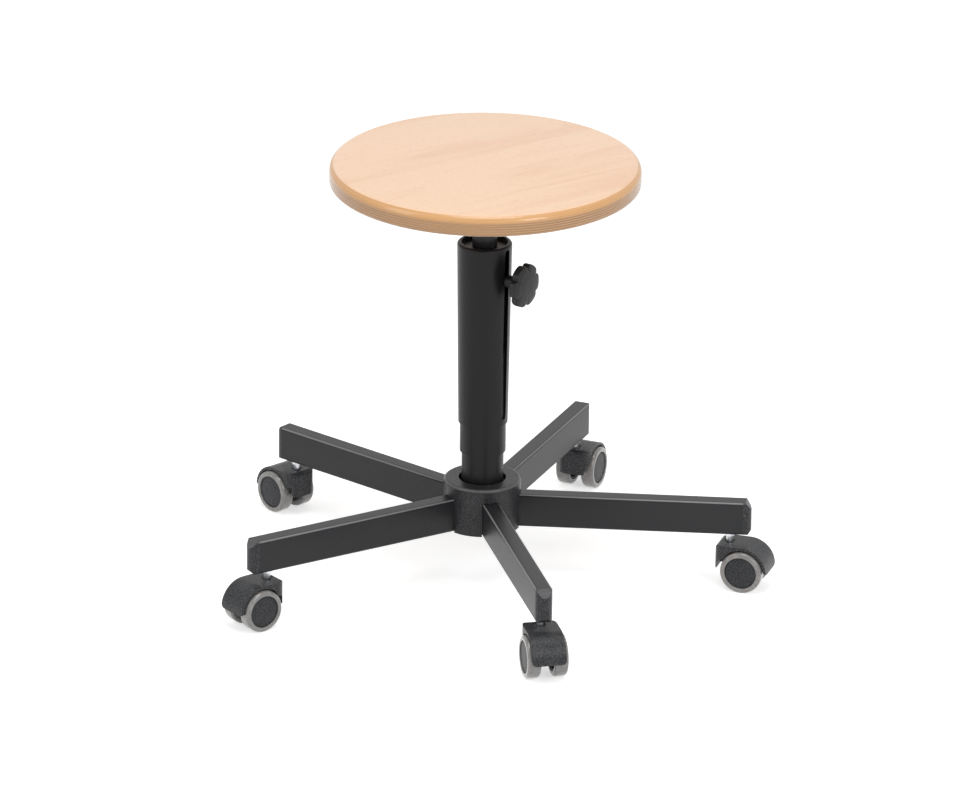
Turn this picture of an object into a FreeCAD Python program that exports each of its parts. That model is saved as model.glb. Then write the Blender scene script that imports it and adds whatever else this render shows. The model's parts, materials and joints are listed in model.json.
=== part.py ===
import FreeCAD, Part
import math
import os

from FreeCAD import Placement, Rotation, Vector

# Machinist stool: a round plywood seat on a hand-clamped telescopic column,
# carried by five rectangular tube legs on twin-wheel castors.
# Millimetres. The origin is on the floor under the column's axis, +Z is up
# and leg 1 points along +X. The seat is at its lowest height.

# Overall
leg_count = 5
seat_top = 511.5
seat_travel = 150.0
running_gap = 0.06
seat_gap = 0.3
press_gap = 0.1

# Seat board
board_radius = 180.0
board_thickness = 25.0
board_top_round = 8.5
board_bottom_round = 5.0

# Seat plate, its screws and their inserts in the board
plate_radius = 80.0
plate_thickness = 3.0
screw_circle_radius = 65.0
screw_count = 4
screw_radius = 3.0
screw_head_radius = 5.5
screw_head_height = 3.3
screw_length = 16.0
screw_head_round = 2.0
screw_socket_radius = 2.2
screw_socket_depth = 2.1
insert_radius = 5.0
insert_length = 15.0

# Swivel spindle under the plate
spindle_radius = 8.0
spindle_length = 60.0
spindle_flange_radius = 20.0
spindle_flange_height = 8.0
circlip_width = 3.0
circlip_thickness = 1.5
circlip_groove = 1.0
circlip_to_end = 4.5
thrust_washer_thickness = 2.0
spindle_bush_length = 48.0

# Seat post and its guides
post_radius = 14.4
post_wall = 2.5
post_ring_height = 14.0
ring_to_clamp = 2.0
post_foot = 4.0
collar_width = 4.0
collar_height = 6.0

# Standpipe in the base
pipe_wall = 2.0
pipe_foot_gap = 1.0
bush_wall = 1.9
bush_to_clamp = 5.5
bush_flange_height = 2.7

# Upper sleeve, which rides with the post
sleeve_wall = 1.7
upper_sleeve_top_radius = 31.9
upper_sleeve_bottom_radius = 28.8
upper_sleeve_bottom = 193.5
clamp_to_rim = 42.3
sleeve_rim_height = 5.0
sleeve_rim_round = 3.0
sleeve_rim_width = 5.0
sleeve_floor = 2.0
sleeve_lip_height = 4.0
sleeve_lip_gap = 0.3
slot_width = 8.6
slot_margin_bottom = 7.0
slot_margin_top = 4.0

# Middle and lower sleeves
middle_sleeve_radius = 26.8
middle_sleeve_bottom = 157.3
middle_sleeve_to_clamp = 25.0
middle_share = 0.5
middle_slot_width = 12.0
middle_slot_spare = 12.0
lower_sleeve_radius = 24.4
lower_sleeve_to_clamp = 30.2

# Clamp through the standpipe, turned by the knob
clamp_height = 373.1
clamp_azimuth = -29.0
stud_radius = 4.0
clamp_boss_radius = 9.0
clamp_boss_reach = 3.4
pad_length = 3.4
knob_radius = 25.6
knob_back = 49.0
knob_edge_thickness = 10.0
knob_dome = 3.2
knob_neck_radius = 7.5
knob_neck_gap = 0.8
knob_edge_round = 2.5
knob_back_taper = 4.0
knob_lobes = 6
knob_turned = -2.0
knob_notch_radius = 5.0
knob_notch_front = 1.2
knob_notch_back = 5.0
stud_in_knob = 14.0

# Hub
core_radius = 30.0
hub_radius = 45.2
hub_wall = 3.0
hub_height_over_legs = 17.0
hub_skirt_under_legs = 1.0
hub_edge_round = 4.0
hub_hole_gap = 3.3

# Legs
leg_height = 40.0
leg_width = 20.0
leg_wall = 1.5
leg_corner = 2.6
leg_tip_radius = 315.0
cap_length = 10.0
cap_insert_hollow = 2.0
cap_top_bevel_run = 6.5
cap_top_bevel_drop = 9.5
cap_bottom_bevel_run = 4.0
cap_bottom_bevel_rise = 4.5
castor_inset = 25.0

# Castor stem and socket
stem_radius = 5.5
stem_length = 23.0
stem_chamfer = 1.0
stem_flange_radius = 6.0
stem_flange_height = 4.0
pin_radius = 4.0
pin_end_height = 34.0
pin_end_gap = 0.5
socket_wall = 1.8

# Castor hood
wheel_radius = 25.0
castor_height = 66.0
castor_trail = 20.0
hood_top = 55.0
hood_width = 40.0
hood_wall = 3.2
hood_wheel_gap = 1.8
hood_rear_drop = 2.0
hood_front = 13.0
hood_skirt_bottom = 25.0
hood_skirt_flare = 1.5
hood_front_round = 5.0
hood_corner_round = 5.0
hood_plan_round = 13.5
hood_cup_radius = 8.0
hood_cup_depth = 2.0
hood_arch_end = 150.0
hood_arch_step = 2.0
web_width = 13.0
web_boss_radius = 8.0
web_bottom = 30.0
web_rear = 14.0

# Castor wheels
wheel_inner_face = 8.0
wheel_width = 16.0
tread_depth = 6.0
tread_round = 3.2
disc_recess = 0.7
disc_dome = 0.6
disc_thickness = 3.0
core_rim = 2.5
core_rim_step = 1.0
core_hub_radius = 6.5
axle_radius = 3.0
axle_cover = 1.5
castor_turns = {1: -13.0, 2: 0.0, 3: -8.0, 4: 6.0, 5: 0.0}

# Heights and radii that follow from the sizes above
leg_bottom = castor_height
leg_top = leg_bottom + leg_height
tube_end = leg_tip_radius - cap_length
castor_radius = leg_tip_radius - castor_inset
pipe_inner = post_radius + running_gap + bush_wall + press_gap / 2
pipe_outer = pipe_inner + pipe_wall
pipe_bottom = leg_bottom + pipe_foot_gap
board_bottom = seat_top - board_thickness
plate_bottom = board_bottom - plate_thickness
flange_bottom = plate_bottom - spindle_flange_height
post_top = flange_bottom - thrust_washer_thickness - press_gap
spindle_end = flange_bottom - spindle_length
sleeve_rim_top = clamp_height + clamp_to_rim
sleeve_floor_top = sleeve_rim_top - sleeve_rim_height
collar_top = sleeve_floor_top - sleeve_floor
collar_bottom = collar_top - collar_height
bush_top = collar_bottom - seat_gap
pipe_top = bush_top - bush_flange_height
ring_top = clamp_height - stud_radius - ring_to_clamp - seat_travel
ring_bottom = ring_top - post_ring_height
post_bottom = ring_bottom - post_foot
hub_top = leg_top + hub_height_over_legs
hub_bottom = leg_bottom - hub_skirt_under_legs
lower_sleeve_bottom = leg_top + seat_gap
lower_sleeve_top = clamp_height - lower_sleeve_to_clamp
middle_sleeve_top = clamp_height - middle_sleeve_to_clamp
boss_end = pipe_outer + clamp_boss_reach
pad_start = post_radius + seat_gap
pad_end = pad_start + pad_length
slot_bottom = upper_sleeve_bottom + slot_margin_bottom
slot_top = sleeve_rim_top - slot_margin_top
slope = (upper_sleeve_top_radius - upper_sleeve_bottom_radius) / (sleeve_rim_top - upper_sleeve_bottom)
knob_neck_start = upper_sleeve_bottom_radius + slope * (clamp_height - upper_sleeve_bottom) + knob_neck_gap
knob_front = knob_back + knob_edge_thickness
hood_radius = hood_top - wheel_radius
hood_inner_radius = wheel_radius + hood_wheel_gap
wheel_outer_face = wheel_inner_face + wheel_width
core_radius_wheel = wheel_radius - tread_depth


def cylinder(radius, low, high):
    return Part.makeCylinder(radius, high - low, Vector(0, 0, low))


def ring(outer, inner, low, high):
    return cylinder(outer, low, high).cut(cylinder(inner, low - 1, high + 1))


def revolved(points):
    """A solid of revolution about Z from a closed outline of (radius, height) points."""
    corners = [Vector(r, 0, z) for r, z in points]
    face = Part.Face(Part.makePolygon(corners + corners[:1]))
    return face.revolve(Vector(0, 0, 0), Vector(0, 0, 1), 360)


def prism(points, depth):
    """A solid from a closed outline of (x, z) points, half the depth to each side of y = 0."""
    corners = [Vector(x, -depth / 2, z) for x, z in points]
    face = Part.Face(Part.makePolygon(corners + corners[:1]))
    return face.extrude(Vector(0, depth, 0))


def edges_where(shape, test):
    return [edge for edge in shape.Edges if test(edge)]


def circles_at(shape, height, radius):
    """The full circular edges at one height and of one radius."""
    def wanted(edge):
        box = edge.BoundBox
        return (abs(box.ZMin - height) < 1e-4 and abs(box.ZMax - height) < 1e-4
                and abs(box.XMax - radius) < 1e-3)
    return edges_where(shape, wanted)


def turned(shape, degrees):
    copy = shape.copy()
    copy.rotate(Vector(0, 0, 0), Vector(0, 0, 1), degrees)
    return copy


def around(shape, count):
    return Part.Compound([turned(shape, 360.0 * i / count) for i in range(count)])


def radial(shape, height, azimuth):
    """Lays a solid made along +Z down so that it points outwards from the column."""
    copy = shape.copy()
    copy.Placement = Placement(
        Vector(0, 0, height), Rotation(Vector(0, 0, 1), azimuth).multiply(Rotation(Vector(0, 1, 0), 90))
    ).multiply(copy.Placement)
    return copy


def leg_angle(number):
    return 360.0 / leg_count * (number - 1)


# Seat

def seat_board():
    board = cylinder(board_radius, board_bottom, seat_top)
    board = board.makeFillet(board_top_round, circles_at(board, seat_top, board_radius))
    board = board.makeFillet(board_bottom_round, circles_at(board, board_bottom, board_radius))
    hole = cylinder(insert_radius, board_bottom - 1, board_bottom + insert_length + press_gap)
    hole.translate(Vector(screw_circle_radius, 0, 0))
    return board.cut(around(hole, screw_count))


def seat_plate():
    plate = cylinder(plate_radius, plate_bottom, board_bottom)
    hole = cylinder(screw_radius + seat_gap, plate_bottom - 1, board_bottom + 1)
    hole.translate(Vector(screw_circle_radius, 0, 0))
    return plate.cut(around(hole, screw_count))


def seat_inserts():
    insert = ring(insert_radius - press_gap, screw_radius, board_bottom, board_bottom + insert_length)
    insert.translate(Vector(screw_circle_radius, 0, 0))
    return around(insert, screw_count)


def seat_screws():
    head = cylinder(screw_head_radius, plate_bottom - screw_head_height, plate_bottom)
    head = head.makeFillet(
        screw_head_round, circles_at(head, plate_bottom - screw_head_height, screw_head_radius))
    shank = cylinder(screw_radius - running_gap, plate_bottom - 0.1, plate_bottom + screw_length)
    socket = cylinder(screw_socket_radius, plate_bottom - screw_head_height - 1,
                      plate_bottom - screw_head_height + screw_socket_depth)
    screw = head.fuse(shank).cut(socket)
    screw.translate(Vector(screw_circle_radius, 0, 0))
    return around(screw, screw_count)


def spindle():
    groove_low = spindle_end + circlip_to_end
    flange = cylinder(spindle_flange_radius, flange_bottom, plate_bottom)
    shaft = cylinder(spindle_radius, spindle_end, flange_bottom + 1)
    groove = ring(spindle_radius + 1, spindle_radius - circlip_groove, groove_low,
                  groove_low + circlip_thickness + press_gap)
    return flange.fuse(shaft).cut(groove)


def spindle_circlip():
    low = spindle_end + circlip_to_end + press_gap / 2
    inner = spindle_radius - circlip_groove + press_gap
    clip = ring(inner + circlip_width, inner, low, low + circlip_thickness)
    gap = Part.makeBox(2 * circlip_width + inner, circlip_width, circlip_thickness + 2,
                       Vector(0, -circlip_width / 2, low - 1))
    return clip.cut(gap)


# Post

def seat_post():
    return ring(post_radius, post_radius - post_wall, post_bottom, post_top)


def spindle_bush():
    outer = post_radius - post_wall - press_gap
    return ring(outer, spindle_radius + running_gap, post_top - spindle_bush_length, post_top)


def thrust_washer():
    return ring(post_radius, spindle_radius + seat_gap, post_top, post_top + thrust_washer_thickness)


def post_ring():
    return ring(pipe_inner - running_gap, post_radius + press_gap, ring_bottom, ring_top)


def sleeve_collar():
    inner = post_radius + press_gap
    return ring(inner + collar_width, inner, collar_bottom, collar_top)


def slot_cutter(width, low, high):
    """A slot of full round ends through the sleeve's wall, on the clamp's side."""
    half = width / 2
    start = post_radius + collar_width + 1.0
    reach = 2 * upper_sleeve_top_radius
    ends = [Part.makeCylinder(half, reach, Vector(start, 0, z), Vector(1, 0, 0)) for z in (low + half, high - half)]
    body = Part.makeBox(reach, width, high - low - width, Vector(start, -half, low + half))
    return turned(body.fuse(ends), clamp_azimuth)


def upper_sleeve():
    rim_inner = upper_sleeve_top_radius - sleeve_rim_width
    wall_top = upper_sleeve_top_radius - sleeve_wall
    lip = middle_sleeve_radius + sleeve_lip_gap
    sleeve = revolved([
        (upper_sleeve_bottom_radius, upper_sleeve_bottom),
        (upper_sleeve_top_radius, sleeve_rim_top),
        (rim_inner, sleeve_rim_top),
        (rim_inner, sleeve_floor_top),
        (post_radius + press_gap, sleeve_floor_top),
        (post_radius + press_gap, collar_top),
        (wall_top - slope * (sleeve_rim_top - collar_top), collar_top),
        (upper_sleeve_bottom_radius - sleeve_wall + slope * sleeve_lip_height,
         upper_sleeve_bottom + sleeve_lip_height),
        (lip, upper_sleeve_bottom + sleeve_lip_height),
        (lip, upper_sleeve_bottom),
    ])
    sleeve = sleeve.makeFillet(sleeve_rim_round, circles_at(sleeve, sleeve_rim_top, upper_sleeve_top_radius))
    return sleeve.cut(slot_cutter(slot_width, slot_bottom, slot_top))


# Middle and lower sleeves

def middle_sleeve():
    inner = middle_sleeve_radius - sleeve_wall
    sleeve = ring(middle_sleeve_radius, inner, middle_sleeve_bottom, middle_sleeve_top)
    lip = ring(middle_sleeve_radius, lower_sleeve_radius + sleeve_lip_gap, middle_sleeve_bottom,
               middle_sleeve_bottom + sleeve_lip_height)
    slot_low = clamp_height - stud_radius - seat_travel * middle_share - middle_slot_spare
    return sleeve.fuse(lip).removeSplitter().cut(
        slot_cutter(middle_slot_width, slot_low, middle_sleeve_top + middle_slot_width))


def lower_sleeve():
    inner = lower_sleeve_radius - sleeve_wall
    return ring(lower_sleeve_radius, inner, lower_sleeve_bottom, lower_sleeve_top)


# Standpipe and clamp

def standpipe():
    pipe = ring(pipe_outer, pipe_inner, pipe_bottom, pipe_top)
    hole = radial(cylinder(stud_radius + running_gap, 0, 2 * pipe_outer), clamp_height, clamp_azimuth)
    return pipe.cut(hole)


def pipe_bush():
    inner = post_radius + running_gap
    bush_bottom = clamp_height + stud_radius + bush_to_clamp
    bush = ring(pipe_inner - press_gap / 2, inner, bush_bottom, pipe_top + press_gap)
    flange = ring(pipe_outer, inner, pipe_top, bush_top)
    return bush.fuse(flange).removeSplitter()


def clamp_boss():
    boss = cylinder(clamp_boss_radius, 0, boss_end)
    hole = cylinder(stud_radius + running_gap, -1, boss_end + 1)
    boss = radial(boss.cut(hole), clamp_height, clamp_azimuth)
    return boss.cut(cylinder(pipe_outer + press_gap, clamp_height - 2 * clamp_boss_radius,
                             clamp_height + 2 * clamp_boss_radius))


def clamp_pad():
    return radial(cylinder(stud_radius - 2 * running_gap, pad_start, pad_end), clamp_height, clamp_azimuth)


def knob_stud():
    stud = cylinder(stud_radius, pad_end + press_gap, knob_back + stud_in_knob - knob_edge_thickness)
    return radial(stud, clamp_height, clamp_azimuth)


def knob_dome_radius():
    return ((knob_radius - knob_edge_round) ** 2 + knob_dome ** 2) / (2 * knob_dome)


def knob():
    body = revolved([
        (0, knob_neck_start),
        (knob_neck_radius, knob_neck_start),
        (knob_neck_radius, knob_back - knob_back_taper),
        (knob_radius - knob_back_taper, knob_back),
        (knob_radius, knob_back + knob_back_taper / 2),
        (knob_radius, knob_front),
        (0, knob_front),
    ])
    body = body.makeFillet(knob_edge_round, circles_at(body, knob_front, knob_radius))
    ball = Part.makeSphere(knob_dome_radius(), Vector(0, 0, knob_front + knob_dome - knob_dome_radius()))
    dome = ball.common(cylinder(knob_radius - knob_edge_round, knob_front - 0.01, knob_front + knob_dome + 1))
    notch_bottom = Vector(knob_radius + knob_notch_radius - knob_notch_back, 0, knob_back)
    notch_top = Vector(knob_radius + knob_notch_radius - knob_notch_front, 0, knob_front)
    lean = notch_top - notch_bottom
    notch = Part.makeCylinder(knob_notch_radius, 3 * lean.Length, notch_bottom - lean, lean)
    notch.rotate(Vector(0, 0, 0), Vector(0, 0, 1), knob_turned)
    socket = cylinder(stud_radius + press_gap, knob_neck_start - 1,
                      knob_back + stud_in_knob - knob_edge_thickness + press_gap)
    whole = body.fuse(dome).cut(around(notch, knob_lobes)).cut(socket)
    return radial(whole, clamp_height, clamp_azimuth)


# Hub and legs

def hub_core():
    return ring(core_radius, pipe_outer + press_gap, leg_bottom, leg_top)


def leg_blank(start, end, grow=0.0):
    """The leg's outer form, or with grow the room round it, between two radii."""
    blank = Part.makeBox(end - start, leg_width + 2 * grow, leg_height + 2 * grow,
                         Vector(start, -leg_width / 2 - grow, leg_bottom - grow))
    long_edges = edges_where(blank, lambda edge: edge.BoundBox.XLength > (end - start) * 0.99)
    return blank.makeFillet(leg_corner, long_edges)


def hub_cover():
    shell = cylinder(hub_radius, hub_bottom, hub_top)
    shell = shell.makeFillet(hub_edge_round, circles_at(shell, hub_top, hub_radius))
    shell = shell.cut(cylinder(hub_radius - hub_wall, hub_bottom - 1, hub_top - hub_wall))
    shell = shell.cut(cylinder(lower_sleeve_radius + hub_hole_gap, hub_bottom, hub_top + 1))
    passage = Part.makeBox(hub_radius + 5, leg_width + 2 * seat_gap, leg_height + hub_skirt_under_legs + 1 + seat_gap,
                           Vector(0, -leg_width / 2 - seat_gap, hub_bottom - 1))
    return shell.cut(around(passage, leg_count))


def leg_tube():
    tube = leg_blank(0, tube_end)
    hollow = Part.makeBox(tube_end + 2, leg_width - 2 * leg_wall, leg_height - 2 * leg_wall,
                          Vector(-1, -leg_width / 2 + leg_wall, leg_bottom + leg_wall))
    socket_hole = cylinder(socket_outer() + press_gap, leg_bottom - 1, leg_bottom + leg_wall + 1)
    socket_hole.translate(Vector(castor_radius, 0, 0))
    core = cylinder(core_radius + press_gap, leg_bottom - 1, leg_top + 1)
    return tube.cut(hollow).cut(socket_hole).cut(core)


def leg_cap():
    half = leg_width / 2
    plan = Part.makeBox(cap_length, leg_width, leg_height, Vector(tube_end, -half, leg_bottom))
    nose = cylinder(half, leg_bottom, leg_top)
    nose.translate(Vector(leg_tip_radius - half, 0, 0))
    face = plan.common(nose) if cap_length <= half else plan.common(
        nose.fuse(Part.makeBox(leg_tip_radius - half - tube_end, leg_width, leg_height,
                               Vector(tube_end, -half, leg_bottom))))
    outline = prism([
        (tube_end, leg_bottom),
        (leg_tip_radius - cap_bottom_bevel_run, leg_bottom),
        (leg_tip_radius + 1, leg_bottom + cap_bottom_bevel_rise * (1 + 1 / cap_bottom_bevel_run)),
        (leg_tip_radius + 1, leg_top - cap_top_bevel_drop * (1 + 1 / cap_top_bevel_run)),
        (leg_tip_radius - cap_top_bevel_run, leg_top),
        (tube_end, leg_top),
    ], leg_width)
    section = leg_blank(tube_end - 1, leg_tip_radius + 1)
    cover = face.common(outline).common(section)
    inside = leg_wall + press_gap
    start = castor_radius + socket_outer() + seat_gap
    plug = Part.makeBox(tube_end - start + 0.5, leg_width - 2 * inside, leg_height - 2 * inside,
                        Vector(start, -half + inside, leg_bottom + inside))
    hollow_side = inside + cap_insert_hollow
    hollow = Part.makeBox(tube_end - start, leg_width - 2 * hollow_side, leg_height - 2 * hollow_side,
                          Vector(start - 1, -half + hollow_side, leg_bottom + hollow_side))
    return cover.fuse(plug.cut(hollow)).removeSplitter()


def socket_outer():
    return stem_radius + press_gap + socket_wall


def castor_socket():
    socket = ring(socket_outer(), stem_radius + press_gap, leg_bottom, leg_top - leg_wall - press_gap)
    socket.translate(Vector(castor_radius, 0, 0))
    return socket


def castor_stem():
    stem = cylinder(stem_radius, leg_bottom - 0.1, leg_bottom + stem_length)
    stem = stem.makeChamfer(stem_chamfer, circles_at(stem, leg_bottom + stem_length, stem_radius))
    flange = cylinder(stem_flange_radius, leg_bottom - stem_flange_height, leg_bottom)
    pin = cylinder(pin_radius, pin_end_height, leg_bottom - stem_flange_height + 0.1)
    whole = stem.fuse([flange, pin]).removeSplitter()
    whole.translate(Vector(castor_radius, 0, 0))
    return whole


# Castors, made with the stem's axis at the origin and the wheels trailing along +X

def hood_outline():
    """The hood's side view: a mudguard arc over the wheel and a skirt on the stem's side."""
    axle = Vector(castor_trail, 0, wheel_radius)

    def on_circle(radius, degrees):
        angle = math.radians(degrees)
        return axle + Vector(radius * math.cos(angle), 0, radius * math.sin(angle))

    skirt_inner = -hood_front + hood_wall
    front_top = Vector(-hood_front, 0, hood_top)
    low_outer = Vector(-hood_front - hood_skirt_flare, 0, hood_skirt_bottom)
    low_inner = Vector(skirt_inner - hood_skirt_flare, 0, hood_skirt_bottom)
    arch_front = on_circle(hood_inner_radius, hood_arch_end)
    bend = Vector(skirt_inner, 0, arch_front.z - hood_arch_step)
    lean = hood_skirt_flare * hood_front_round / (hood_top - hood_skirt_bottom)
    corner_low = front_top + Vector(-lean, 0, -hood_front_round)
    corner_high = front_top + Vector(hood_front_round, 0, 0)
    corner_middle = front_top + Vector(hood_front_round * 0.29, 0, -hood_front_round * 0.29)
    edges = [
        Part.Arc(on_circle(hood_radius, -hood_rear_drop), on_circle(hood_radius, 45), on_circle(hood_radius, 90)),
        Part.LineSegment(on_circle(hood_radius, 90), corner_high),
        Part.Arc(corner_high, corner_middle, corner_low),
        Part.LineSegment(corner_low, low_outer),
        Part.LineSegment(low_outer, low_inner),
        Part.LineSegment(low_inner, bend),
        Part.LineSegment(bend, arch_front),
        Part.Arc(arch_front, on_circle(hood_inner_radius, 90), on_circle(hood_inner_radius, -hood_rear_drop)),
        Part.LineSegment(on_circle(hood_inner_radius, -hood_rear_drop), on_circle(hood_radius, -hood_rear_drop)),
    ]
    return Part.Face(Part.Wire([edge.toShape() for edge in edges]))


def hood_plan():
    """The hood seen from above: a bar as wide as the hood with both corners by the stem well rounded."""
    front = -hood_front - hood_skirt_flare
    plan = Part.makeBox(castor_trail + hood_radius - front, hood_width, hood_top,
                        Vector(front, -hood_width / 2, 0))
    corners = edges_where(plan, lambda edge: edge.BoundBox.ZLength > hood_top * 0.99
                          and edge.BoundBox.XMax < front + 1e-6)
    return plan.makeFillet(hood_plan_round, corners)


def castor_hood():
    half = hood_width / 2
    face = hood_outline()
    face.translate(Vector(0, -half, 0))
    shell = face.extrude(Vector(0, hood_width, 0))
    rear_x = castor_trail + hood_inner_radius * math.cos(math.radians(hood_rear_drop))

    def at_end(edge):
        box = edge.BoundBox
        at_side = box.YLength < 1e-6 and abs(abs(box.YMin) - half) < 1e-6
        rear = box.XMin > rear_x - 0.01 and box.ZMax < wheel_radius
        front = box.ZMax < hood_skirt_bottom + 1e-4
        return at_side and (rear or front)

    shell = shell.makeFillet(hood_corner_round, edges_where(shell, at_end))
    shell = shell.common(hood_plan())
    block = Part.makeBox(castor_trail + web_rear + hood_front - hood_wall, web_width, hood_top - 1 - web_bottom,
                         Vector(-hood_front + hood_wall, -web_width / 2, web_bottom))
    room = Part.makeCylinder(hood_radius - 1, web_width, Vector(castor_trail, -web_width / 2, wheel_radius),
                             Vector(0, 1, 0))
    ahead = Part.makeBox(castor_trail + hood_front, web_width, hood_top,
                         Vector(-hood_front, -web_width / 2, 0))
    block = block.common(room.fuse(ahead))
    boss = Part.makeCylinder(web_boss_radius, web_width, Vector(castor_trail, -web_width / 2, wheel_radius),
                             Vector(0, 1, 0))
    hood = shell.fuse([block, boss]).removeSplitter()
    bore = cylinder(pin_radius + running_gap, pin_end_height - pin_end_gap, hood_top + 1)
    cup = Part.makeCone(pin_radius + running_gap, hood_cup_radius, hood_cup_depth,
                        Vector(0, 0, hood_top - hood_cup_depth + 0.01))
    axle_hole = Part.makeCylinder(axle_radius + press_gap, web_width + 2,
                                  Vector(castor_trail, -web_width / 2 - 1, wheel_radius), Vector(0, 1, 0))
    return hood.cut(bore).cut(cup).cut(axle_hole)


def on_axle(shape, side):
    """Lays a wheel piece made along +Z onto the axle, to the left (1) or right (-1)."""
    copy = shape.copy()
    copy.rotate(Vector(0, 0, 0), Vector(1, 0, 0), -90 * side)
    copy.translate(Vector(castor_trail, 0, wheel_radius))
    return copy


def castor_axle():
    reach = wheel_outer_face - disc_recess - disc_thickness + axle_cover
    return on_axle(cylinder(axle_radius, -reach, reach), 1)


def wheel_core():
    outer = core_radius_wheel
    face = wheel_outer_face - disc_recess
    back = face - disc_thickness
    ball = (outer ** 2 + disc_dome ** 2) / (2 * disc_dome)
    disc = cylinder(outer, back, face - disc_dome)
    dome = Part.makeSphere(ball, Vector(0, 0, face - ball)).common(cylinder(outer, face - disc_dome - 0.01, face + 1))
    rim = ring(outer, outer - core_rim, wheel_inner_face + core_rim_step, back + 0.5)
    hub = cylinder(core_hub_radius, wheel_inner_face, back + 0.5)
    bore = cylinder(axle_radius + running_gap, wheel_inner_face - 1, back + axle_cover + press_gap)
    return disc.fuse([dome, rim, hub]).removeSplitter().cut(bore)


def wheel_tread():
    tread = ring(wheel_radius, core_radius_wheel + press_gap / 2, wheel_inner_face, wheel_outer_face)
    for face in (wheel_inner_face, wheel_outer_face):
        tread = tread.makeFillet(tread_round, circles_at(tread, face, wheel_radius))
    return tread


def castor_parts():
    parts = {"hood": castor_hood(), "axle": castor_axle()}
    for side_name, side in (("left", 1), ("right", -1)):
        parts["core_" + side_name] = on_axle(wheel_core(), side)
        parts["tread_" + side_name] = on_axle(wheel_tread(), side)
    return parts


def at_leg(shape, number):
    copy = shape.copy()
    copy.rotate(Vector(0, 0, 0), Vector(0, 0, 1), castor_turns[number])
    copy.translate(Vector(castor_radius, 0, 0))
    return turned(copy, leg_angle(number))


def all_parts():
    parts = {
        "seat_board": seat_board(),
        "seat_plate": seat_plate(),
        "seat_inserts": seat_inserts(),
        "seat_screws": seat_screws(),
        "spindle": spindle(),
        "spindle_circlip": spindle_circlip(),
        "seat_post": seat_post(),
        "spindle_bush": spindle_bush(),
        "thrust_washer": thrust_washer(),
        "post_ring": post_ring(),
        "sleeve_collar": sleeve_collar(),
        "upper_sleeve": upper_sleeve(),
        "middle_sleeve": middle_sleeve(),
        "lower_sleeve": lower_sleeve(),
        "standpipe": standpipe(),
        "pipe_bush": pipe_bush(),
        "clamp_boss": clamp_boss(),
        "clamp_pad": clamp_pad(),
        "knob_stud": knob_stud(),
        "knob": knob(),
        "hub_core": hub_core(),
        "hub_cover": hub_cover(),
        "leg_caps": around(leg_cap(), leg_count),
        "castor_sockets": around(castor_socket(), leg_count),
        "castor_stems": around(castor_stem(), leg_count),
    }
    tube = leg_tube()
    castor = castor_parts()
    for number in range(1, leg_count + 1):
        parts[f"leg_tube_{number}"] = turned(tube, leg_angle(number))
        for name, shape in castor.items():
            parts[f"castor_{number}_{name}"] = at_leg(shape, number)
    return parts


os.makedirs("parts", exist_ok=True)
for node, shape in all_parts().items():
    shape.exportStep(f"parts/{node}.step")
    box = shape.BoundBox
    print(f"{node}: {len(shape.Solids)} solids, volume {shape.Volume:.1f}, valid {shape.isValid()}, "
          f"z {box.ZMin:.1f} to {box.ZMax:.1f}")
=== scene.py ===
import json
import math

import bmesh
import bpy
from mathutils import Matrix, Vector


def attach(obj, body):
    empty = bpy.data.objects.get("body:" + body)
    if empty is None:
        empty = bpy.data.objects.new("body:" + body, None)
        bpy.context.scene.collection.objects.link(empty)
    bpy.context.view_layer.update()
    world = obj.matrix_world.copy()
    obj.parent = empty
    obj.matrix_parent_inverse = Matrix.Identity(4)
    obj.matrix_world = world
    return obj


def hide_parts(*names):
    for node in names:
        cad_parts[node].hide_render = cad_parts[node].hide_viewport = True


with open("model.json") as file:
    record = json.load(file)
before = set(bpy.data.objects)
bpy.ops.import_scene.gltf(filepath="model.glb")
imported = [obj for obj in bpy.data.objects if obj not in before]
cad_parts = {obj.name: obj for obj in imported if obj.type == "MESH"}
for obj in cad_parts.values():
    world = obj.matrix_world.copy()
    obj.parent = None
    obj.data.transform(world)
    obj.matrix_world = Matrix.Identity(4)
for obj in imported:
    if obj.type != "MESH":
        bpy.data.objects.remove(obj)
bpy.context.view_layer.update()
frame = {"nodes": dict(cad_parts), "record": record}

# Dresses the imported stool: finishes, smooth pieces, light and camera.
# Metres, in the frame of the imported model: origin on the floor under the
# column, +Z up, leg 1 along +X.

MM = 0.001

# Seat board
board_radius = 180.0 * MM
board_top = 511.5 * MM
board_bottom = 486.5 * MM
board_top_round = 8.5 * MM
board_bottom_round = 5.0 * MM
ply_thickness = 1.47 * MM
grain_angle = math.radians(40.0)

# Knob
knob_height = 373.1 * MM
knob_azimuth = math.radians(-29.0)
knob_radius = 25.6 * MM
knob_back = 49.0 * MM
knob_front = 59.0 * MM
knob_dome = 3.2 * MM
knob_neck_start = 32.1 * MM
knob_neck_radius = 7.5 * MM
knob_lobes = 6
knob_turned = math.radians(-2.0)
knob_notch_front = 3.2 * MM
knob_notch_back = 6.0 * MM
knob_notch_sharpness = 7.0
knob_back_taper = 4.0 * MM
knob_edge_round = 2.4 * MM
knob_back_round = 1.5 * MM

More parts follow.
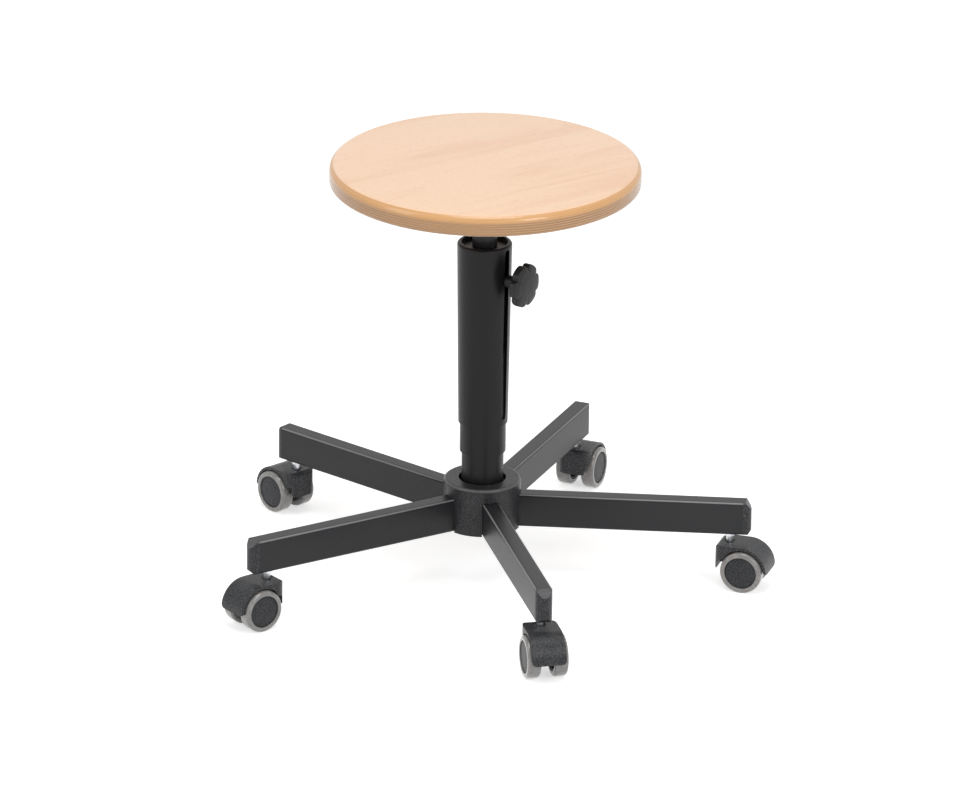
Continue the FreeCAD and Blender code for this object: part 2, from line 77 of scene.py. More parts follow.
# Castors, with the stem at the origin and the wheels trailing along +X
leg_count = 5
castor_radius = 290.0 * MM
castor_trail = 20.0 * MM
castor_turns = {1: -13.0, 2: 0.0, 3: -8.0, 4: 6.0, 5: 0.0}
wheel_radius = 25.0 * MM
wheel_inner_face = 8.0 * MM
wheel_width = 16.0 * MM
tread_depth = 6.0 * MM
tread_round = 3.2 * MM
tread_seat_gap = 0.05 * MM
disc_recess = 0.7 * MM
disc_dome = 0.6 * MM
disc_thickness = 3.0 * MM
disc_step_start = 1.4 * MM
disc_step_end = 0.9 * MM
disc_step_depth = 0.4 * MM
core_rim = 2.5 * MM
core_rim_step = 1.0 * MM
core_hub_radius = 6.5 * MM
axle_radius = 3.1 * MM
axle_cover = 1.6 * MM
rib_count = 12
rib_thickness = 1.2 * MM
rib_recess = 1.5 * MM
rib_overlap = 0.3 * MM

# Camera, fitted to the photo's frame of 960 x 800
camera_distance = 10.278
camera_height = 4.2414
camera_azimuth = math.radians(-85.478)
camera_pitch = 0.373067
camera_yaw = 0.000352
camera_roll = 0.010259
camera_lens = 356.25

# Room and light
floor_half_size = 18.0
floor_glow = 0.58
world_light = 0.42


# Shader and geometry maths

class Field:
    """A socket whose value can be used in Python expressions, which add Math nodes."""

    def __init__(self, tree, socket):
        self.tree = tree
        self.socket = socket

    def math(self, operation, *others):
        node = self.tree.nodes.new("ShaderNodeMath")
        node.operation = operation
        for target, value in zip(node.inputs, (self, *others)):
            put(self.tree, target, value)
        return Field(self.tree, node.outputs[0])

    def __add__(self, other):
        return self.math("ADD", other)

    def __mul__(self, other):
        return self.math("MULTIPLY", other)

    def __sub__(self, other):
        return self.math("SUBTRACT", other)

    def __truediv__(self, other):
        return self.math("DIVIDE", other)

    def __pow__(self, other):
        return self.math("POWER", other)

    def __rsub__(self, other):
        return (self * -1.0) + other

    __radd__ = __add__
    __rmul__ = __mul__

    def clamped(self):
        return self.math("MAXIMUM", 0.0).math("MINIMUM", 1.0)

    def between(self, low, high):
        """0 at low and below, 1 at high and above, straight between."""
        return ((self - low) / (high - low)).clamped()

    def cosine(self):
        return self.math("COSINE")


def put(tree, target, value):
    """Sets a socket to a plain value, or links a field or socket to it."""
    if isinstance(value, Field):
        value = value.socket
    if isinstance(value, bpy.types.NodeSocket):
        tree.links.new(value, target)
    else:
        target.default_value = value


class Tree:
    """A node tree that is written with one call for each node."""

    def __init__(self, tree):
        self.tree = tree

    def node(self, kind, settings=None, sockets=None):
        node = self.tree.nodes.new(kind)
        for name, value in (settings or {}).items():
            if name == "stops":
                self.set_stops(node.color_ramp, value)
            else:
                setattr(node, name, value)
        for name, value in (sockets or {}).items():
            put(self.tree, node.inputs[name], value)
        return node

    @staticmethod
    def set_stops(ramp, stops):
        while len(ramp.elements) < len(stops):
            ramp.elements.new(0.5)
        for element, (position, color) in zip(ramp.elements, stops):
            element.position = position
            element.color = (*color, 1.0)

    def field(self, socket):
        return Field(self.tree, socket)

    def seen_directly(self):
        """1 for rays from the camera, off a mirror or through glass, and 0 for light."""
        ray = self.node("ShaderNodeLightPath")
        camera, mirror, glass = [self.field(ray.outputs[name]) for name in (
            "Is Camera Ray", "Is Glossy Ray", "Is Transmission Ray")]
        return camera.math("MAXIMUM", mirror).math("MAXIMUM", glass)


class Finish(Tree):
    """One procedural material on object coordinates, in metres."""

    def __init__(self, name):
        self.material = bpy.data.materials.new(name)
        self.material.use_nodes = True
        super().__init__(self.material.node_tree)
        self.tree.nodes.clear()
        self.place = self.node("ShaderNodeTexCoord").outputs["Object"]

    def split(self, vector=None):
        parts = self.node("ShaderNodeSeparateXYZ", sockets={"Vector": vector or self.place})
        return [self.field(parts.outputs[axis]) for axis in "XYZ"]

    def stretched(self, scale, turn=0.0, vector=None):
        return self.node("ShaderNodeMapping", {"vector_type": "TEXTURE"}, {
            "Vector": vector or self.place, "Rotation": (0.0, 0.0, turn),
            "Scale": tuple(1.0 / number for number in scale)}).outputs["Vector"]

    def noise(self, scale, detail=2.0, rough=0.5, distort=0.0, vector=None):
        node = self.node("ShaderNodeTexNoise", sockets={
            "Vector": vector or self.place, "Scale": scale, "Detail": detail, "Roughness": rough,
            "Distortion": distort})
        return self.field(node.outputs["Fac"])

    def upper_corner(self):
        """1 on the roundings between a side and a top face, and 0 on flat faces."""
        normal = self.node("ShaderNodeTexCoord").outputs["Normal"]
        rise = self.split(normal)[2]
        return rise.between(0.22, 0.50) * (1.0 - rise.between(0.86, 0.97))

    def cells(self, scale):
        node = self.node("ShaderNodeTexVoronoi", {"feature": "F1"}, {"Vector": self.place, "Scale": scale})
        return self.field(node.outputs["Distance"])

    def mixed(self, factor, first, second, blend="MIX"):
        node = self.node("ShaderNodeMix", {"data_type": "RGBA", "blend_type": blend})
        put(self.tree, node.inputs[0], factor)
        put(self.tree, node.inputs[6], (*first, 1.0) if isinstance(first, tuple) else first)
        put(self.tree, node.inputs[7], (*second, 1.0) if isinstance(second, tuple) else second)
        return node.outputs[2]

    def bump(self, height, distance, strength=1.0, normal=None):
        sockets = {"Height": height, "Distance": distance, "Strength": strength}
        if normal is not None:
            sockets["Normal"] = normal
        return self.node("ShaderNodeBump", sockets=sockets).outputs["Normal"]

    def shade(self, color, roughness, normal=None, **numbers):
        sockets = {"Base Color": (*color, 1.0) if isinstance(color, tuple) else color, "Roughness": roughness}
        if normal is not None:
            sockets["Normal"] = normal
        sockets.update({name.replace("_", " "): value for name, value in numbers.items()})
        shader = self.node("ShaderNodeBsdfPrincipled", sockets=sockets)
        self.node("ShaderNodeOutputMaterial", sockets={"Surface": shader.outputs["BSDF"]})
        return self.material


# Finishes

def beech_plywood():
    """Clear lacquered beech plywood: a grained face veneer and the cut plies round the edge."""
    f = Finish("beech_plywood")
    x, y, z = f.split()
    along = f.stretched((3.0, 26.0, 1.0), grain_angle)
    wander = f.noise(1.0, 3.0, 0.55, 0.6, along)
    fine = f.noise(1.0, 3.0, 0.6, 0.3, f.stretched((14.0, 520.0, 14.0), grain_angle))
    flecks = f.noise(1.0, 1.0, 0.5, 0.0, f.stretched((150.0, 900.0, 40.0), grain_angle)).between(0.60, 0.74)
    cloud = f.noise(7.0, 2.0, 0.5)
    streak = wander.between(0.50, 0.66)
    face = f.mixed(streak * 0.62 + fine * 0.32, (0.93, 0.635, 0.42), (0.84, 0.50, 0.30))
    face = f.mixed(cloud.between(0.35, 0.75) * 0.35, face, (0.95, 0.67, 0.465))
    face = f.mixed(flecks * 0.34, face, (0.62, 0.34, 0.16))

    depth = (z - board_bottom) / ply_thickness
    ply = depth.math("FLOOR")
    inside = depth.math("FRACT")
    odd = (ply * 0.5).math("FRACT") * 2.0
    length = (x * x + y * y).math("SQRT").math("MAXIMUM", 0.001)
    toward = (x * math.cos(grain_angle) + y * math.sin(grain_angle)) / length
    facing = toward * toward
    end_grain = odd * facing + (1.0 - odd) * (1.0 - facing)
    tint = f.noise(1.0, 2.0, 0.6, 0.0, f.stretched((24.0, 24.0, 700.0)))
    fibres = f.noise(1.0, 2.0, 0.6, 0.0, f.stretched((60.0, 60.0, 2600.0)))
    edge = f.mixed(end_grain * 0.7 + tint * 0.2, (0.63, 0.385, 0.195), (0.38, 0.185, 0.075))
    edge = f.mixed(fibres.between(0.45, 0.75) * 0.3, edge, (0.36, 0.17, 0.07))
    band = z.between(board_top - 10.0 * MM, board_top - 7.0 * MM)
    edge = f.mixed(band * (0.55 + tint * 0.4), edge, (0.78, 0.42, 0.165))
    glue = 1.0 - inside.between(0.06, 0.20)
    edge = f.mixed(glue * (0.85 - band * 0.6), edge, (0.13, 0.05, 0.018))
    top = z.between(board_top - 0.85 * ply_thickness, board_top - 0.75 * ply_thickness)
    bottom = 1.0 - z.between(board_bottom + 0.75 * ply_thickness, board_bottom + 0.85 * ply_thickness)
    outer = top.math("MAXIMUM", bottom)
    color = f.mixed(outer, edge, face)
    relief = fine * 0.4 + flecks * -0.5 + glue * (1.0 - outer) * -2.0
    normal = f.bump(relief, 0.03 * MM, 0.6)
    return f.shade(color, fine * 0.10 + 0.30, normal, Coat_Weight=0.6, Coat_Roughness=0.12,
                   Specular_IOR_Level=0.3)


def moulded_plastic(name, color, light, grain_size, grain_depth, roughness, corner_highlight=0.0):
    """Dyed plastic with a moulded grain: small cells over a finer noise, with paler specks on their crests
    that are painted glints, and for some parts a painted highlight on the upper corner roundings.
    """
    f = Finish(name)
    cells = f.cells(1.0 / grain_size)
    coarse = f.noise(0.9 / grain_size, 3.0, 0.8)
    fine = f.noise(2.2 / grain_size, 2.0, 0.6)
    cloud = f.noise(30.0, 2.0, 0.5)
    crest = (1.0 - cells).between(0.30, 0.90) * 0.5 + coarse * 0.5
    speck = coarse.between(0.47, 0.61) * 0.7 + crest.between(0.45, 0.75) * 0.3
    # The paler specks on the grain's crests are painted glints, standing in for the sparkle of the moulded
    # grain.
    tone = f.mixed(speck * 0.9 + cloud * 0.1, color, light)
    # Painted highlight: the upper corner roundings are lightened to grey, standing in for a lamp's reflection
    # along the edge.
    tone = f.mixed(f.upper_corner() * corner_highlight, tone, (0.24, 0.24, 0.25))
    normal = f.bump(crest + fine * 0.3, grain_depth, 0.9)
    return f.shade(tone, fine * 0.16 + roughness, normal, Specular_IOR_Level=0.26)


def sleeve_plastic():
    """Smooth extruded black plastic: hardly visible lines along the column and a satin shine."""
    f = Finish("sleeve_plastic")
    drawn = f.noise(1.0, 2.0, 0.5, 0.0, f.stretched((900.0, 900.0, 6.0)))
    skin = f.noise(1400.0, 2.0, 0.6)
    scuffs = f.noise(45.0, 3.0, 0.7).between(0.58, 0.78)
    color = f.mixed(skin * 0.4 + scuffs * 0.2, (0.008, 0.008, 0.0085), (0.018, 0.018, 0.020))
    normal = f.bump(drawn * 0.4 + skin * 0.6, 0.012 * MM, 0.7)
    return f.shade(color, scuffs * 0.06 + skin * 0.08 + 0.30, normal, Specular_IOR_Level=0.2)


def powder_coat():
    """Black powder coat on steel tube: a fine orange peel, with a painted highlight along the upper corner
    roundings.
    """
    f = Finish("powder_coat")
    peel = f.noise(900.0, 2.0, 0.55)
    speck = f.noise(1100.0, 2.0, 0.6).between(0.50, 0.70)
    cloud = f.noise(18.0, 3.0, 0.6)
    color = f.mixed(speck * 0.55 + cloud * 0.2, (0.010, 0.0105, 0.012), (0.034, 0.035, 0.038))
    # Painted highlight: the upper corner roundings are made pale grey, standing in for a lamp's reflection
    # along the edge.
    color = f.mixed(f.upper_corner() * 0.7, color, (0.32, 0.32, 0.33))
    normal = f.bump(peel * 0.7 + speck * 0.3, 0.03 * MM, 0.7)
    return f.shade(color, peel * 0.12 + cloud * 0.05 + 0.26, normal, Specular_IOR_Level=0.32)


def polyurethane():
    """Soft grey tread: shiny, faintly mottled, with dust ground into the running face."""
    f = Finish("grey_polyurethane")
    mottle = f.noise(120.0, 3.0, 0.6)
    dust = f.noise(900.0, 2.0, 0.6).between(0.5, 0.75)
    color = f.mixed(mottle.between(0.35, 0.7), (0.185, 0.178, 0.172), (0.27, 0.26, 0.25))
    color = f.mixed(dust * 0.25, color, (0.16, 0.15, 0.145))
    normal = f.bump(mottle, 0.05 * MM, 0.5)
    return f.shade(color, dust * 0.12 + 0.20, normal, Coat_Weight=0.7, Coat_Roughness=0.10,
                   Subsurface_Weight=0.15, Subsurface_Scale=0.002)


def metal(name, color, dark, roughness, lines, metallic=1.0):
    """Plated or drawn metal, with turning lines round the upright axis."""
    f = Finish(name)
    turning = f.noise(1.0, 2.0, 0.6, 0.0, f.stretched((40.0, 40.0, lines)))
    bloom = f.noise(160.0, 3.0, 0.6)
    tone = f.mixed(turning * 0.4 + bloom.between(0.4, 0.8) * 0.5, color, dark)
    normal = f.bump(turning, 0.006 * MM, 0.6)
    return f.shade(tone, turning * 0.10 + bloom * 0.08 + roughness, normal, Metallic=metallic)


def natural_plastic():
    """Undyed guide plastic with faint flow marks."""
    f = Finish("guide_plastic")
    flow = f.noise(70.0, 3.0, 0.6, 0.8)
    color = f.mixed(flow.between(0.35, 0.7), (0.78, 0.77, 0.73), (0.70, 0.69, 0.65))
    return f.shade(color, flow * 0.15 + 0.38, f.bump(flow, 0.02 * MM, 0.4))


finishes = {
    "seat_wood": beech_plywood(),
    "sleeve_plastic": sleeve_plastic(),
    "knob_plastic": moulded_plastic("knob_plastic", (0.012, 0.0125, 0.014), (0.034, 0.035, 0.038),
                                    0.9 * MM, 0.03 * MM, 0.36),
    # The hub and the caps get a painted highlight on their upper corners.
    "hub_plastic": moulded_plastic("hub_plastic", (0.006, 0.0062, 0.007), (0.085, 0.087, 0.093),
                                   1.1 * MM, 0.10 * MM, 0.26, corner_highlight=0.4),
    "cap_plastic": moulded_plastic("cap_plastic", (0.006, 0.0062, 0.007), (0.105, 0.107, 0.115),
                                   1.2 * MM, 0.10 * MM, 0.28, corner_highlight=0.3),
    "castor_nylon": moulded_plastic("castor_nylon", (0.006, 0.0062, 0.007), (0.110, 0.113, 0.121),
                                    1.2 * MM, 0.12 * MM, 0.26),
    "wheel_nylon": moulded_plastic("wheel_nylon", (0.010, 0.0105, 0.012), (0.078, 0.080, 0.087),
                                   1.1 * MM, 0.08 * MM, 0.32),
    "leg_steel": powder_coat(),
    "tread_grey": polyurethane(),
    "zinc_steel": metal("zinc_plate", (0.80, 0.81, 0.84), (0.56, 0.58, 0.62), 0.20, 3000.0),
    # The post's near-black tone is partly its black oxide and partly painted shade, from the shadow under the
    # seat.
    "post_steel": metal("black_oxide", (0.016, 0.016, 0.017), (0.008, 0.008, 0.009), 0.32, 2500.0, 0.2),
    "inner_steel": metal("drawn_steel", (0.50, 0.51, 0.53), (0.34, 0.35, 0.37), 0.30, 60.0),
    "guide_plastic": natural_plastic(),
    "insert_brass": metal("brass", (0.80, 0.60, 0.28), (0.58, 0.40, 0.16), 0.28, 2800.0),
}
slot_of = {part["node"]: part["material_slot"] for part in frame["record"]["subparts"]}
body_of = {node: body for body, nodes in frame["record"]["behaviour"]["bodies"].items() for node in nodes}


# Meshes

def add_piece(name, mesh, slot, body):
    """A finished piece of the object, riding on its body in its slot's finish."""
    mesh.materials.clear()
    mesh.materials.append(finishes[slot])
    piece = bpy.data.objects.new(name, mesh)
    bpy.context.scene.collection.objects.link(piece)
    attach(piece, body)
    return piece


def smoothed(mesh, degrees=32.0):
    """Shades a mesh smooth, except over edges sharper than the angle."""
    for polygon in mesh.polygons:
        polygon.use_smooth = True
    mesh.set_sharp_from_angle(angle=math.radians(degrees))
    return mesh


def baked(piece_mesh, change):
    """Runs change(object) to add modifiers, and returns the plain mesh that they give."""
    helper = bpy.data.objects.new("helper", piece_mesh)
    bpy.context.scene.collection.objects.link(helper)
    change(helper)
    graph = bpy.context.evaluated_depsgraph_get()
    result = bpy.data.meshes.new_from_object(helper.evaluated_get(graph), depsgraph=graph)
    bpy.data.objects.remove(helper)
    return result


def softened(mesh, width, segments=3):
    """Rounds the sharp edges a little, and keeps the flat faces flat in their shading."""
    def change(helper):
        bevel = helper.modifiers.new("edges", "BEVEL")
        bevel.width = width
        bevel.segments = segments
        bevel.limit_method = "ANGLE"
        bevel.angle_limit = math.radians(34.0)
        bevel.use_clamp_overlap = True
        helper.modifiers.new("shading", "WEIGHTED_NORMAL").keep_sharp = True

    for polygon in mesh.polygons:
        polygon.use_smooth = True
    return baked(mesh, change)


def dressed(node, width=0.0, degrees=32.0):
    """A smooth copy of a CAD node, with its edges rounded by width, that stands for it."""
    work = bmesh.new()
    work.from_mesh(frame["nodes"][node].data)
    bmesh.ops.remove_doubles(work, verts=work.verts, dist=0.002 * MM)
    bmesh.ops.dissolve_limit(work, angle_limit=math.radians(0.5), verts=work.verts, edges=work.edges)
    mesh = bpy.data.meshes.new(node + "_smooth")
    work.to_mesh(mesh)
    work.free()
    mesh = softened(mesh, width) if width else smoothed(mesh, degrees)
    piece = add_piece(node + "_smooth", mesh, slot_of[node], body_of[node])
    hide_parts(node)
    return piece


def rounded(corners, steps=8):
    """An outline of (radius, height, rounding) corners with each corner turned into an arc."""
    outline = []
    count = len(corners)
    for i, (r, z, rounding) in enumerate(corners):
        here = Vector((r, z))
        if not rounding:
            outline.append(here)
            continue
        back = (Vector(corners[i - 1][:2]) - here).normalized()
        ahead = (Vector(corners[(i + 1) % count][:2]) - here).normalized()
        half = back.angle(ahead) / 2
        reach = rounding / math.tan(half)
        centre = here + (back + ahead).normalized() * (rounding / math.sin(half))
        start = here + back * reach - centre
        end = here + ahead * reach - centre
        sweep = start.angle(end)
        for k in range(steps + 1):
            t = k / steps
            mix = (start * math.sin((1 - t) * sweep) + end * math.sin(t * sweep)) / math.sin(sweep)
            outline.append(centre + mix)
    return outline


def lathe(name, corners, segments=128, steps=8):
    """A turned solid about Z from an outline of (radius, height, rounding) corners."""
    outline = rounded(corners, steps)
    work = bmesh.new()
    rings = []
    for r, z in outline:
        if r < 1e-7:
            rings.append([work.verts.new((0.0, 0.0, z))])
            continue
        rings.append([work.verts.new((r * math.cos(a), r * math.sin(a), z))
                      for a in (2 * math.pi * k / segments for k in range(segments))])
    for i, ring in enumerate(rings):
        other = rings[(i + 1) % len(rings)]
        if len(ring) == 1 and len(other) == 1:
            continue
        for k in range(segments):
            n = (k + 1) % segments
            around = [ring[k % len(ring)], ring[n % len(ring)], other[n % len(other)], other[k % len(other)]]
            work.faces.new(list(dict.fromkeys(around)))
    bmesh.ops.recalc_face_normals(work, faces=work.faces)
    mesh = bpy.data.meshes.new(name)
    work.to_mesh(mesh)
    work.free()
    return mesh


# Geometry node trees

def new_geometry_tree(name, inputs):
    """A geometry tree with named inputs, and its group input and output nodes."""
    tree = bpy.data.node_groups.new(name, "GeometryNodeTree")
    tree.interface.new_socket("Geometry", in_out="INPUT", socket_type="NodeSocketGeometry")
    tree.interface.new_socket("Geometry", in_out="OUTPUT", socket_type="NodeSocketGeometry")
    for label, kind in inputs.items():
        tree.interface.new_socket(label, in_out="INPUT", socket_type=kind)
    writer = Tree(tree)
    return writer, writer.node("NodeGroupInput"), writer.node("NodeGroupOutput")


def run_tree(tree, mesh, values):
    """The plain mesh that a geometry tree makes of a mesh, with its named inputs set."""
    def change(helper):
        modifier = helper.modifiers.new("rule", "NODES")
        modifier.node_group = tree
        for item in tree.interface.items_tree:
            if item.in_out == "INPUT" and item.name in values:
                modifier[item.identifier] = values[item.name]

    return baked(mesh, change)


def knob_tree():
    """Presses notches between the lobes of a turned knob, deeper towards its back than its face."""
    w, given, result = new_geometry_tree("knob_lobes", {
        "Lobes": "NodeSocketFloat", "Turned": "NodeSocketFloat", "Radius": "NodeSocketFloat",
        "Neck": "NodeSocketFloat", "Back": "NodeSocketFloat", "Front": "NodeSocketFloat",
        "Notch Back": "NodeSocketFloat", "Notch Front": "NodeSocketFloat", "Material": "NodeSocketMaterial"})
    value = {name: w.field(given.outputs[name]) for name in
             ("Lobes", "Turned", "Radius", "Neck", "Back", "Front", "Notch Back", "Notch Front")}
    position = w.node("GeometryNodeInputPosition").outputs[0]
    place = w.node("ShaderNodeSeparateXYZ", sockets={"Vector": position})
    x, y, z = [w.field(place.outputs[axis]) for axis in "XYZ"]
    radius = (x * x + y * y).math("SQRT").math("MAXIMUM", 1e-6)
    angle = y.math("ARCTAN2", x)
    wave = ((angle - value["Turned"]) * value["Lobes"]).cosine() * 0.5 + 0.5
    notch = wave ** knob_notch_sharpness
    forward = ((z - value["Back"]) / (value["Front"] - value["Back"])).clamped()
    depth = value["Notch Back"] + (value["Notch Front"] - value["Notch Back"]) * forward
    share = ((radius - value["Neck"]) / (value["Radius"] - value["Neck"])).clamped()
    scale = (radius - depth * notch * share * share) / radius
    moved = w.node("ShaderNodeCombineXYZ", sockets={"X": x * scale, "Y": y * scale, "Z": z})
    pressed = w.node("GeometryNodeSetPosition", sockets={
        "Geometry": given.outputs["Geometry"], "Position": moved.outputs[0]})
    real = w.node("GeometryNodeRealizeInstances", sockets={"Geometry": pressed.outputs["Geometry"]})
    coated = w.node("GeometryNodeSetMaterial", sockets={
        "Geometry": real.outputs["Geometry"], "Material": given.outputs["Material"]})
    put(w.tree, result.inputs["Geometry"], coated.outputs["Geometry"])
    return w.tree


def rib_tree():
    """Radial ribs on a circle, as inside a moulded wheel."""
    w, given, result = new_geometry_tree("wheel_ribs", {
        "Count": "NodeSocketInt", "Inner Radius": "NodeSocketFloat", "Outer Radius": "NodeSocketFloat",
        "Thickness": "NodeSocketFloat", "Low": "NodeSocketFloat", "High": "NodeSocketFloat",
        "Material": "NodeSocketMaterial"})
    count, inner, outer, thick, low, high = [w.field(given.outputs[name]) for name in (
        "Count", "Inner Radius", "Outer Radius", "Thickness", "Low", "High")]
    circle = w.node("GeometryNodeMeshCircle", {"fill_type": "NONE"}, {
        "Vertices": given.outputs["Count"], "Radius": (inner + outer) * 0.5})
    size = w.node("ShaderNodeCombineXYZ", sockets={"X": outer - inner, "Y": thick, "Z": high - low})
    rib = w.node("GeometryNodeMeshCube", sockets={"Size": size.outputs[0]})
    index = w.field(w.node("GeometryNodeInputIndex").outputs[0])
    turn = w.node("ShaderNodeCombineXYZ", sockets={"Z": index * (2 * math.pi) / count})
    spread = w.node("GeometryNodeInstanceOnPoints", sockets={
        "Points": circle.outputs["Mesh"], "Instance": rib.outputs["Mesh"], "Rotation": turn.outputs[0]})
    lift = w.node("ShaderNodeCombineXYZ", sockets={"Z": (low + high) * 0.5})
    raised = w.node("GeometryNodeTransform", sockets={
        "Geometry": spread.outputs["Instances"], "Translation": lift.outputs[0]})
    real = w.node("GeometryNodeRealizeInstances", sockets={"Geometry": raised.outputs["Geometry"]})
    coated = w.node("GeometryNodeSetMaterial", sockets={
        "Geometry": real.outputs["Geometry"], "Material": given.outputs["Material"]})
    put(w.tree, result.inputs["Geometry"], coated.outputs["Geometry"])
    return w.tree


# Seat

def make_seat():
    mesh = lathe("seat_disc", [
        (0.0, board_bottom, 0.0),
        (board_radius, board_bottom, board_bottom_round),
        (board_radius, board_top, board_top_round),
        (0.0, board_top, 0.0),
    ], segments=256, steps=12)
    board = add_piece("seat_disc", smoothed(mesh), "seat_wood", "seat")
    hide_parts("seat_board")
    for node in ("seat_plate", "seat_screws", "spindle", "seat_post"):
        dressed(node, 0.3 * MM)


# Column and clamp

def make_column():
    for node in ("upper_sleeve", "middle_sleeve", "lower_sleeve"):
        dressed(node, 0.35 * MM)
    for node in ("standpipe", "knob_stud", "pipe_bush", "sleeve_collar"):
        dressed(node)


def make_knob():
    mesh = lathe("knob_blank", [
        (0.0, knob_neck_start, 0.0),
        (knob_neck_radius, knob_neck_start, 0.6 * MM),
        (knob_neck_radius, knob_back - knob_back_taper, 1.2 * MM),
        (knob_radius - knob_back_taper, knob_back, knob_back_round),
        (knob_radius, knob_back + knob_back_taper / 2, knob_back_round),
        (knob_radius, knob_front + 0.2 * MM, knob_edge_round),
        (knob_radius * 0.72, knob_front + 0.62 * knob_dome, 6.0 * MM),
        (knob_radius * 0.36, knob_front + 0.92 * knob_dome, 9.0 * MM),
        (0.0, knob_front + knob_dome, 0.0),
    ], segments=336, steps=6)
    mesh = run_tree(knob_tree(), mesh, {
        "Lobes": float(knob_lobes), "Turned": knob_turned, "Radius": knob_radius, "Neck": knob_neck_radius,
        "Back": knob_back, "Front": knob_front, "Notch Back": knob_notch_back,
        "Notch Front": knob_notch_front, "Material": finishes["knob_plastic"]})
    place = (Matrix.Translation((0.0, 0.0, knob_height)) @ Matrix.Rotation(knob_azimuth, 4, "Z")
             @ Matrix.Rotation(math.pi / 2, 4, "Y"))
    mesh.transform(place)
    knob = add_piece("knob_grip", smoothed(mesh, 40.0), "knob_plastic", "knob")
    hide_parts("knob")


# Base

def make_base():
    dressed("hub_cover", 0.5 * MM)
    dressed("leg_caps", 0.5 * MM)
    dressed("castor_stems", 0.3 * MM)
    for number in range(1, leg_count + 1):
        dressed(f"leg_tube_{number}")


def wheel_place(number, side):
    """Where a wheel made about +Z goes: onto its axle, then onto its castor and its leg."""
    leg = math.radians(360.0 / leg_count * (number - 1))
    return (Matrix.Rotation(leg, 4, "Z") @ Matrix.Translation((castor_radius, 0.0, 0.0))
            @ Matrix.Rotation(math.radians(castor_turns[number]), 4, "Z")
            @ Matrix.Translation((castor_trail, 0.0, wheel_radius))
            @ Matrix.Rotation(-math.pi / 2 * side, 4, "X"))


def make_castors():
    outer_face = wheel_inner_face + wheel_width
    core = wheel_radius - tread_depth
    face = outer_face - disc_recess
    back = face - disc_thickness
    tread = smoothed(lathe("tread", [
        (core + tread_seat_gap, wheel_inner_face, 0.5 * MM),
        (wheel_radius, wheel_inner_face, tread_round),
        (wheel_radius, outer_face, tread_round),
        (core + tread_seat_gap, outer_face, 0.7 * MM),
    ], segments=120))
    disc = smoothed(lathe("wheel_disc", [
        (0.0, face, 0.0),
        (core * 0.55, face - 0.3 * disc_dome, 3.0 * MM),
        (core - disc_step_start, face - disc_dome, 0.5 * MM),
        (core - disc_step_end, face - disc_step_depth - disc_dome, 0.2 * MM),
        (core, face - disc_step_depth - disc_dome, 0.3 * MM),
        (core, wheel_inner_face + core_rim_step, 0.4 * MM),
        (core - core_rim, wheel_inner_face + core_rim_step, 0.4 * MM),
        (core - core_rim, back, 0.6 * MM),
        (core_hub_radius, back, 0.6 * MM),
        (core_hub_radius, wheel_inner_face, 0.4 * MM),
        (axle_radius, wheel_inner_face, 0.3 * MM),
        (axle_radius, back + axle_cover, 0.0),
        (0.0, back + axle_cover, 0.0),
    ], segments=96, steps=4))
    ribs = run_tree(rib_tree(), bpy.data.meshes.new("rib_seed"), {
        "Count": rib_count, "Inner Radius": core_hub_radius - rib_overlap,
        "Outer Radius": core - core_rim + rib_overlap, "Thickness": rib_thickness,
        "Low": wheel_inner_face + core_rim_step + rib_recess, "High": back + rib_overlap,
        "Material": finishes["wheel_nylon"]})
    for number in range(1, leg_count + 1):
        dressed(f"castor_{number}_hood", 0.45 * MM)
        for side_name, side in (("left", 1), ("right", -1)):
            body = f"wheel_{number}_{side_name}"
            place = wheel_place(number, side)
            for label, mesh, slot, node in (
                    ("tread", tread, "tread_grey", "tread"), ("disc", disc, "wheel_nylon", "core"),
                    ("ribs", ribs, "wheel_nylon", None)):
                copy = mesh.copy()
                copy.transform(place)
                piece = add_piece(f"{body}_{label}", copy, slot, body)
                if node:
                    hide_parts(f"castor_{number}_{node}_{side_name}")


def finish_cad_nodes():
    """Every CAD node gets its slot's finish, also those that a smooth piece stands for."""
    for name, node in frame["nodes"].items():
        node.data.materials.clear()
        node.data.materials.append(finishes[slot_of[name]])


# Room, light and camera

def white_floor():
    """Matt white paper with a white glow of its own, which fades its shadows."""
    f = Finish("white_floor")
    grain = f.noise(3.0, 2.0, 0.5)
    color = f.mixed(grain, (0.90, 0.90, 0.90), (0.92, 0.92, 0.92))
    glow = f.seen_directly() * floor_glow
    return f.shade(color, 0.9, Specular_IOR_Level=0.0, Emission_Color=(1.0, 1.0, 1.0, 1.0),
                   Emission_Strength=glow)


def make_floor():
    mesh = bpy.data.meshes.new("floor")
    half = floor_half_size
    mesh.from_pydata([(-half, -half, 0.0), (half, -half, 0.0), (half, half, 0.0), (-half, half, 0.0)],
                     [], [(0, 1, 2, 3)])
    mesh.materials.append(white_floor())
    floor = bpy.data.objects.new("floor", mesh)
    bpy.context.scene.collection.objects.link(floor)


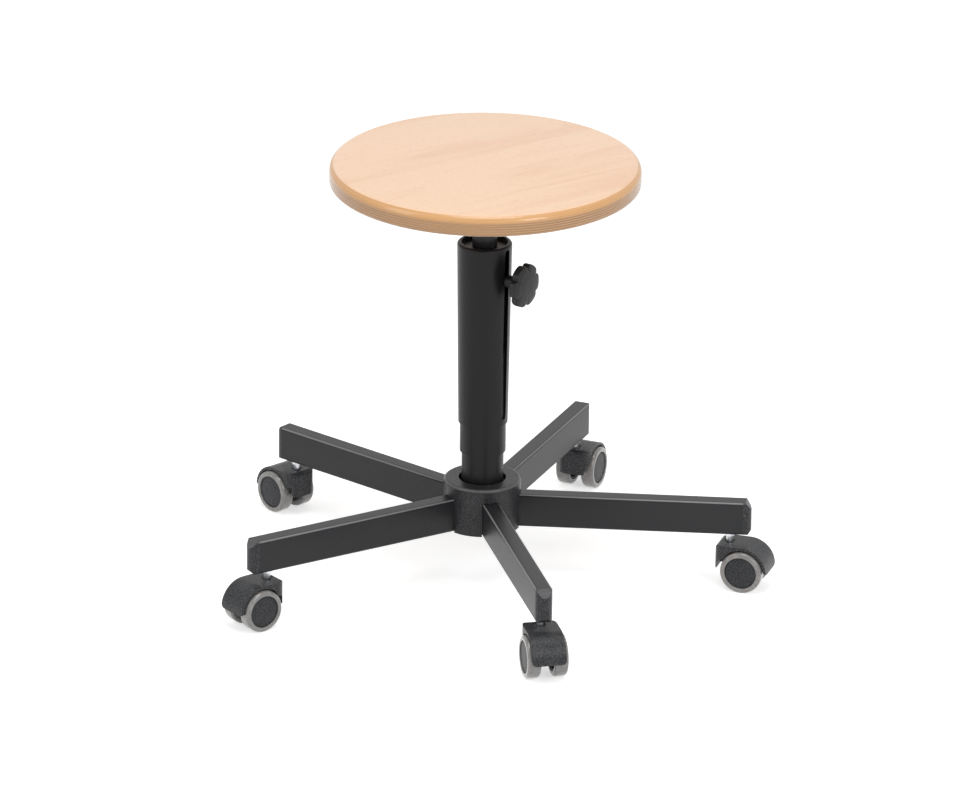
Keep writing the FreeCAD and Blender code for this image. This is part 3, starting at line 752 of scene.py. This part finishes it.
def make_world():
    """White to the camera and in reflections, and a softer white as light."""
    world = bpy.data.worlds.new("studio")
    bpy.context.scene.world = world
    world.use_nodes = True
    w = Tree(world.node_tree)
    w.tree.nodes.clear()
    light = w.node("ShaderNodeBackground", sockets={"Color": (1.0, 1.0, 1.0, 1.0), "Strength": world_light})
    white = w.node("ShaderNodeBackground", sockets={"Color": (1.0, 1.0, 1.0, 1.0), "Strength": 1.0})
    mix = w.node("ShaderNodeMixShader")
    put(w.tree, mix.inputs[0], w.seen_directly())
    put(w.tree, mix.inputs[1], light.outputs[0])
    put(w.tree, mix.inputs[2], white.outputs[0])
    w.node("ShaderNodeOutputWorld", sockets={"Surface": mix.outputs[0]})


def add_softbox(name, place, target, size, power):
    data = bpy.data.lights.new(name, "AREA")
    data.shape = "RECTANGLE"
    data.size, data.size_y = size
    data.energy = power
    lamp = bpy.data.objects.new(name, data)
    lamp.location = place
    lamp.rotation_euler = (Vector(target) - Vector(place)).to_track_quat("-Z", "Y").to_euler()
    bpy.context.scene.collection.objects.link(lamp)


def make_lights():
    middle = (0.0, 0.0, 0.25)
    add_softbox("softbox_left", (-2.2, -1.2, 1.6), middle, (0.9, 1.8), 13.0)
    add_softbox("softbox_right", (1.7, -2.0, 1.5), middle, (0.8, 1.4), 21.0)
    add_softbox("softbox_top", (0.1, -0.6, 2.8), middle, (1.3, 1.3), 26.0)


def make_camera():
    flat = Vector((-math.cos(camera_azimuth), -math.sin(camera_azimuth), 0.0))
    flat = Matrix.Rotation(camera_yaw, 3, "Z") @ flat
    forward = flat * math.cos(camera_pitch) - Vector((0.0, 0.0, math.sin(camera_pitch)))
    level = forward.cross(Vector((0.0, 0.0, 1.0))).normalized()
    upright = level.cross(forward)
    right = level * math.cos(camera_roll) + upright * math.sin(camera_roll)
    up = right.cross(forward)
    data = bpy.data.cameras.new("camera")
    data.lens = camera_lens
    data.sensor_width = 36.0
    data.clip_end = 100.0
    camera = bpy.data.objects.new("camera", data)
    turn = Matrix((right, up, -forward)).transposed().to_4x4()
    spot = Vector((camera_distance * math.cos(camera_azimuth), camera_distance * math.sin(camera_azimuth),
                   camera_height))
    camera.matrix_world = Matrix.Translation(spot) @ turn
    bpy.context.scene.collection.objects.link(camera)
    bpy.context.scene.camera = camera


finish_cad_nodes()
make_seat()
make_column()
make_knob()
make_base()
make_castors()
make_floor()
make_world()
make_lights()
make_camera()
bpy.context.scene.view_settings.view_transform = "Standard"
